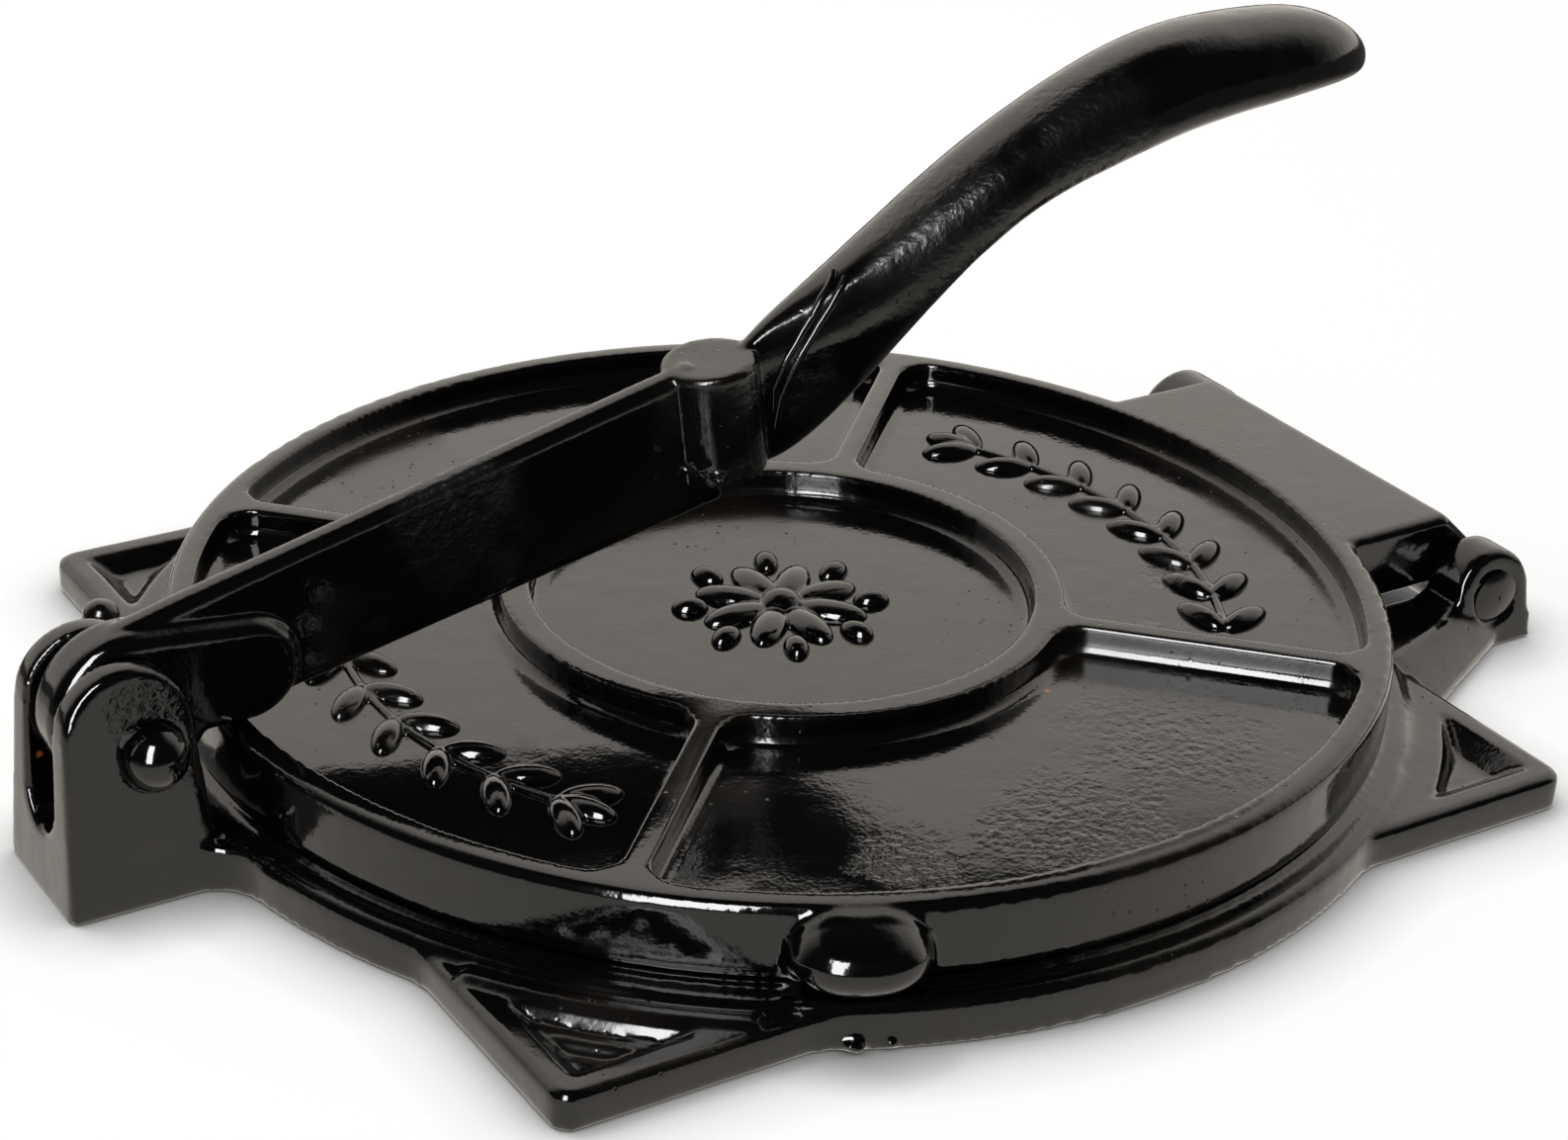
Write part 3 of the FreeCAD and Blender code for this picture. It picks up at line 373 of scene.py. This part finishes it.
# Castings: every CAD solid of cast iron is taken over as one soft skin, its edges rounded as enamel leaves
# them. Grain, waves, weld and wave length are in mm
castings = {
    "base": {"piece": "baseCasting", "slot": "enamelled_casting", "finish": "enamelledCasting",
             "grain": 0.60, "waves": 0.10, "triangles": 190000},
    "top_plate": {"piece": "topPlateCasting", "slot": "enamelled_plate", "finish": "enamelledPlate",
                  "grain": 0.55, "waves": 0.08, "triangles": 190000},
    "lever": {"piece": "leverCasting", "slot": "enamelled_lever", "finish": "enamelledLever",
              "grain": 0.42, "waves": 0.10, "triangles": 120000},
}
skin = {"weld": 0.002, "soften": 8, "softness": 0.5, "waveLength": 7, "normalWeight": 50}

# Slow unevenness of a hand-rammed sand mould
sandWaves = bpy.data.textures.new("sandWaves", "CLOUDS")
sandWaves.noise_scale = skin["waveLength"] * mm
sandWaves.noise_depth = 1


def solidCopy(name, node):
    # A CAD node's mesh comes as loose triangles, so its copy is merged
    shell = bmesh.new()
    shell.from_mesh(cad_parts[node].data)
    bmesh.ops.remove_doubles(shell, verts=shell.verts, dist=skin["weld"] * mm)
    mesh = bpy.data.meshes.new(name)
    shell.to_mesh(mesh)
    shell.free()
    return newObject(name, mesh)


# The lift nub on the plate's rim, its box in degrees and mm
thumbNub = {
    "heading": -115.7, "rim": 98.6, "overhang": 10.7, "halfWidth": 10.8, "beyond": 1.3, "low": 9.0,
    "high": 20.8, "squareness": 2.3, "blend": 0.35, "topDrop": 1.6,
}


def swellNub(thing):
    # The nub is a round drop of iron that grows out of the rim, so its box is drawn in to a dome
    turn = Matrix.Rotation(-math.radians(thumbNub["heading"]), 3, "Z")
    middle = (thumbNub["low"] + thumbNub["high"]) / 2
    halfHeight = (thumbNub["high"] - thumbNub["low"]) / 2
    power = thumbNub["squareness"]
    for vertex in thing.data.vertices:
        place = turn @ vertex.co / mm
        out = (place.x - thumbNub["rim"]) / thumbNub["overhang"]
        side, up = place.y / thumbNub["halfWidth"], (place.z - middle) / halfHeight
        if out > 0 and abs(side) < thumbNub["beyond"]:
            reach = max((out ** power + abs(side) ** power + abs(up) ** power) ** (1 / power), 1.0)
            share = min(out / thumbNub["blend"], 1) ** 2
            draw = 1 + (1 / reach - 1) * share
            place.x = thumbNub["rim"] + out * draw * thumbNub["overhang"]
            place.y *= draw
            place.z = middle + up * draw * halfHeight - thumbNub["topDrop"] * out * share * max(up, 0)
            vertex.co = turn.inverted() @ place * mm


def makeCasting(node, extras):
    spec = castings[node]
    thing = solidCopy(spec["piece"], node)
    joinInto(thing, extras)
    modify(thing, "REMESH", mode="VOXEL", voxel_size=spec["grain"] * mm, use_smooth_shade=True)
    modify(thing, "SMOOTH", factor=skin["softness"], iterations=skin["soften"])
    modify(thing, "DISPLACE", texture=sandWaves, texture_coords="LOCAL", direction="NORMAL",
           strength=spec["waves"] * mm, mid_level=0.5)
    settle(thing)
    if node == "top_plate":
        swellNub(thing)
    # The press stands flat on the floor
    for vertex in thing.data.vertices:
        vertex.co.z = max(vertex.co.z, 0)
    count = sum(len(face.vertices) - 2 for face in thing.data.polygons)
    if count > spec["triangles"]:
        modify(thing, "DECIMATE", ratio=spec["triangles"] / count, use_collapse_triangulate=True)
    modify(thing, "WEIGHTED_NORMAL", keep_sharp=False, weight=skin["normalWeight"])
    settle(thing)
    finishPiece(thing, spec["finish"], node)
    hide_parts(node)


# Relief cast in one with the plate and the base: laurel branches, a rosette, and ridges in the near foot
relief = {
    "grain": 0.3, "soften": 5, "softness": 0.5, "roundness": 4, "curveSteps": 48, "ridgeSides": 16,
    "stemSides": 12,
}


def newTree(name, sizes):
    tree = bpy.data.node_groups.new(name, "GeometryNodeTree")
    tree.interface.new_socket("Geometry", in_out="INPUT", socket_type="NodeSocketGeometry")
    tree.interface.new_socket("Geometry", in_out="OUTPUT", socket_type="NodeSocketGeometry")
    for label, value in sizes.items():
        kind = "NodeSocketInt" if isinstance(value, int) else "NodeSocketFloat"
        tree.interface.new_socket(label, in_out="INPUT", socket_type=kind).default_value = value
    return tree, addNode(tree, "NodeGroupInput").outputs


def closeTree(tree, shapes, floor, finish):
    # The shapes are lifted to the floor that carries them, made one mesh and given their finish
    both = addNode(tree, "GeometryNodeJoinGeometry", Geometry=shapes)
    shift = addNode(tree, "ShaderNodeCombineXYZ", Z=floor)
    lifted = addNode(tree, "GeometryNodeTransform", Geometry=both.outputs[0], Translation=shift.outputs[0])
    whole = addNode(tree, "GeometryNodeRealizeInstances", Geometry=lifted.outputs[0])
    coated = addNode(tree, "GeometryNodeSetMaterial", Geometry=whole.outputs[0], Material=finishes[finish])
    addNode(tree, "NodeGroupOutput", Geometry=coated.outputs[0])


def grow(name, tree, sizes):
    thing = newObject(name, bpy.data.meshes.new(name))
    modifier = modify(thing, "NODES", node_group=tree)
    for item in tree.interface.items_tree:
        if item.in_out == "INPUT" and item.name in sizes:
            modifier[item.identifier] = sizes[item.name]
    return settle(thing)


def dome(tree, length, width, height):
    # Low rounded lump, its lower half under the floor that carries it
    ball = addNode(tree, "GeometryNodeMeshIcoSphere", Radius=1.0, Subdivisions=relief["roundness"])
    size = addNode(tree, "ShaderNodeCombineXYZ", X=length, Y=width, Z=height)
    scale = addNode(tree, "ShaderNodeVectorMath", {"operation": "MULTIPLY"}, i0=size.outputs[0],
                    i1=(0.5, 0.5, 1.0))
    return addNode(tree, "GeometryNodeTransform", Geometry=ball.outputs["Mesh"],
                   Scale=scale.outputs[0]).outputs[0]


def setRound(tree, points, shape, **which):
    # The shape on every point, turned outwards from the plate's middle
    place = addNode(tree, "GeometryNodeInputPosition")
    outward = addNode(tree, "FunctionNodeAlignRotationToVector", {"axis": "X"}, Vector=place.outputs[0])
    return addNode(tree, "GeometryNodeInstanceOnPoints", Points=points, Instance=shape,
                   Rotation=outward.outputs[0], **which).outputs[0]


def arcRod(tree, given, sides):
    arc = addNode(tree, "GeometryNodeCurveArc", Resolution=relief["curveSteps"], Radius=given["Radius"],
                  Start_Angle=given["Start"], Sweep_Angle=given["Sweep"])
    ring = addNode(tree, "GeometryNodeCurvePrimitiveCircle", Resolution=sides, Radius=given["Thickness"])
    return addNode(tree, "GeometryNodeCurveToMesh", Curve=arc.outputs[0], Profile_Curve=ring.outputs[0],
                   Fill_Caps=True).outputs[0]


laurel = {
    "Radius": 73.2 * mm, "Start": 0.0, "Sweep": 1.10, "Pairs": 8, "Leaf Length": 10.6 * mm,
    "Leaf Width": 4.8 * mm, "Leaf Angle": 0.74, "Thickness": 0.9 * mm, "Height": 2.0 * mm,
    "Floor": 15.9 * mm,
}
branchStarts = {"laurelBranchHinge": -0.60, "laurelBranchClevis": 2.58}      # radians round the plate


def makeLaurelTree():
    # A stem with pairs of leaves that lean along it, and one leaf at its end
    tree, given = newTree("laurelBranch", laurel)
    leaf = dome(tree, given["Leaf Length"], given["Leaf Width"], given["Height"])
    length = addNode(tree, "ShaderNodeCombineXYZ", X=given["Leaf Length"])
    root = addNode(tree, "ShaderNodeVectorMath", {"operation": "MULTIPLY"}, i0=length.outputs[0],
                   i1=(0.5, 0.5, 0.5))
    grown = addNode(tree, "GeometryNodeTransform", Geometry=leaf, Translation=root.outputs[0])

    def leaning(side):
        angle = addNode(tree, "ShaderNodeMath", {"operation": "MULTIPLY_ADD"}, i0=given["Leaf Angle"],
                        i1=side, i2=math.pi / 2)
        spin = addNode(tree, "ShaderNodeCombineXYZ", Z=angle.outputs[0])
        return addNode(tree, "GeometryNodeTransform", Geometry=grown.outputs[0],
                       Rotation=spin.outputs[0]).outputs[0]

    points = addNode(tree, "GeometryNodeCurveArc", Resolution=given["Pairs"], Radius=given["Radius"],
                     Start_Angle=given["Start"], Sweep_Angle=given["Sweep"]).outputs[0]
    pair = addNode(tree, "GeometryNodeJoinGeometry", Geometry=(leaning(1.0), leaning(-1.0)))
    last = addNode(tree, "ShaderNodeMath", {"operation": "SUBTRACT"}, i0=given["Pairs"], i1=1.0)
    index = addNode(tree, "GeometryNodeInputIndex")
    atEnd = addNode(tree, "FunctionNodeCompare", {"data_type": "INT", "operation": "EQUAL"},
                    i2=index.outputs[0], i3=last.outputs[0])
    shapes = (arcRod(tree, given, relief["stemSides"]), setRound(tree, points, pair.outputs[0]),
              setRound(tree, points, leaning(0.0), Selection=atEnd.outputs[0]))
    closeTree(tree, shapes, given["Floor"], "enamelledPlate")
    return tree


rosette = {
    "Petals": 8, "Reach": 8.4 * mm, "Petal Length": 12.6 * mm, "Petal Width": 6.0 * mm,
    "Outer Reach": 15.2 * mm, "Leaf Length": 6.4 * mm, "Leaf Width": 4.4 * mm, "Boss Size": 7.4 * mm,
    "Boss Height": 3.0 * mm, "Height": 2.1 * mm, "Floor": 15.9 * mm,
}


def makeRosetteTree():
    # A boss in a ring of petals, and a ring of leaves at the gaps between them
    tree, given = newTree("wellRosette", rosette)
    step = addNode(tree, "ShaderNodeMath", {"operation": "DIVIDE"}, i0=math.pi, i1=given["Petals"])
    between = addNode(tree, "ShaderNodeCombineXYZ", Z=step.outputs[0])
    rings = []
    turned = {"Rotation": between.outputs[0]}
    for reach, kind, turn in (("Reach", "Petal", {}), ("Outer Reach", "Leaf", turned)):
        ring = addNode(tree, "GeometryNodeMeshCircle", Vertices=given["Petals"], Radius=given[reach])
        points = addNode(tree, "GeometryNodeTransform", Geometry=ring.outputs[0], **turn)
        petal = dome(tree, given[kind + " Length"], given[kind + " Width"], given["Height"])
        rings.append(setRound(tree, points.outputs[0], petal))
    boss = dome(tree, given["Boss Size"], given["Boss Size"], given["Boss Height"])
    closeTree(tree, (*rings, boss), given["Floor"], "enamelledPlate")
    return tree


footRidges = {
    "footRidgeInner": {"Radius": 106.3 * mm, "Start": -2.56, "Sweep": 0.41, "Height": 4.6 * mm,
                       "Thickness": 2.4 * mm},
    "footRidgeMiddle": {"Radius": 112.2 * mm, "Start": -2.45, "Sweep": 0.18, "Height": 2.1 * mm,
                        "Thickness": 2.5 * mm},
    "footRidgeOuter": {"Radius": 117.8 * mm, "Start": -2.395, "Sweep": 0.08, "Height": 2.2 * mm,
                       "Thickness": 2.0 * mm},
}


def makeRidgeTree():
    tree, given = newTree("footRidge", footRidges["footRidgeInner"])
    closeTree(tree, (arcRod(tree, given, relief["ridgeSides"]),), given["Height"], "enamelledCasting")
    return tree


def castRelief(thing):
    # One soft skin over all the lumps of a relief, which stands in the plate's floor
    modify(thing, "REMESH", mode="VOXEL", voxel_size=relief["grain"] * mm, use_smooth_shade=True)
    modify(thing, "SMOOTH", factor=relief["softness"], iterations=relief["soften"])
    settle(thing)
    finishPiece(thing, "enamelledPlate", "top_plate")


# Scars of gate and feeder where they were broken off: place and size in mm
lumps = {
    "base": [((-45.9, -94.1, 1.3), 1.6), ((-41.1, -96.1, 1.2), 1.0)],
    "lever": [((-22.5, -6.2, 48.6), 1.7), ((-20.0, -6.9, 47.2), 1.2), ((-17.6, -7.4, 45.9), 1.0)],
    "roundness": 3, "flatness": 0.6, "unevenness": 0.35, "dents": 0.9,
}


def makeLumps(node):
    made = []
    for number, (place, size) in enumerate(lumps[node]):
        shell = bmesh.new()
        bmesh.ops.create_icosphere(shell, subdivisions=lumps["roundness"], radius=size * mm)
        for vertex in shell.verts:
            vertex.co *= 1 + lumps["unevenness"] * noise.noise(vertex.co / mm * lumps["dents"])
            vertex.co.z *= lumps["flatness"]
            vertex.co += Vector(place) * mm
        mesh = bpy.data.meshes.new("lump")
        shell.to_mesh(mesh)
        shell.free()
        made.append(newObject(f"{node}Lump{number}", mesh))
    return made


# Two fine beads where the mould halves met, on the near side of the handle's root: x and z in mm along each
partingBeads = {
    "upperBead": [(6.5, 74.3), (3.0, 71.1), (-0.7, 66.6), (-3.2, 62.5), (-5.0, 57.6), (-4.7, 52.8)],
    "lowerBead": [(7.4, 74.0), (5.1, 71.5), (1.7, 67.3), (-0.9, 63.2), (-2.6, 59.3), (-3.8, 55.3),
                  (-4.3, 49.5)],
    "thickness": 0.75, "sink": 0.30, "steps": 6, "probeFrom": -50, "roundness": 3,
}


def layBead(name, probe):
    # A bead follows its route on the CAD surface, a little sunk into it
    points = []
    route, steps = partingBeads[name], partingBeads["steps"]
    for start, end in zip(route, route[1:]):
        for step in range(steps):
            x, z = (a * (1 - step / steps) + b * step / steps for a, b in zip(start, end))
            hit = probe.ray_cast(Vector((x, partingBeads["probeFrom"], z)) * mm, Vector((0, 1, 0)))[0]
            if hit is not None:
                points.append(hit + Vector((0, partingBeads["sink"] * mm, 0)))
    curve = bpy.data.curves.new(name, "CURVE")
    curve.dimensions = "3D"
    curve.bevel_depth = partingBeads["thickness"] * mm
    curve.bevel_resolution = partingBeads["roundness"]
    curve.use_fill_caps = True
    line = curve.splines.new("POLY")
    line.points.add(len(points) - 1)
    for point, place in zip(line.points, points):
        point.co = (*place, 1)
    return settle(newObject(name, curve))


def makePartingBeads():
    shell = solidCopy("handleProbe", "lever")
    probe = BVHTree.FromObject(shell, bpy.context.evaluated_depsgraph_get())
    bpy.data.objects.remove(shell)
    piece = newObject("partingBeads", bpy.data.meshes.new("partingBeads"))
    joinInto(piece, [layBead(name, probe) for name in ("upperBead", "lowerBead")])
    for face in piece.data.polygons:
        face.use_smooth = True
    finishPiece(piece, "enamelledLever", "lever")


laurelTree, rosetteTree, ridgeTree = makeLaurelTree(), makeRosetteTree(), makeRidgeTree()
for name, start in branchStarts.items():
    castRelief(grow(name, laurelTree, {**laurel, "Start": start}))
castRelief(grow("wellRosette", rosetteTree, rosette))
makePartingBeads()
print("relief made")

extras = {
    "base": [grow(name, ridgeTree, sizes) for name, sizes in footRidges.items()] + makeLumps("base"),
    "top_plate": [],
    "lever": makeLumps("lever"),
}
for node in castings:
    makeCasting(node, extras[node])
for node in ("lever_pin", "hinge_pin"):
    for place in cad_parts[node].material_slots:
        place.material = finishes["paintedPin"]
print("castings made")
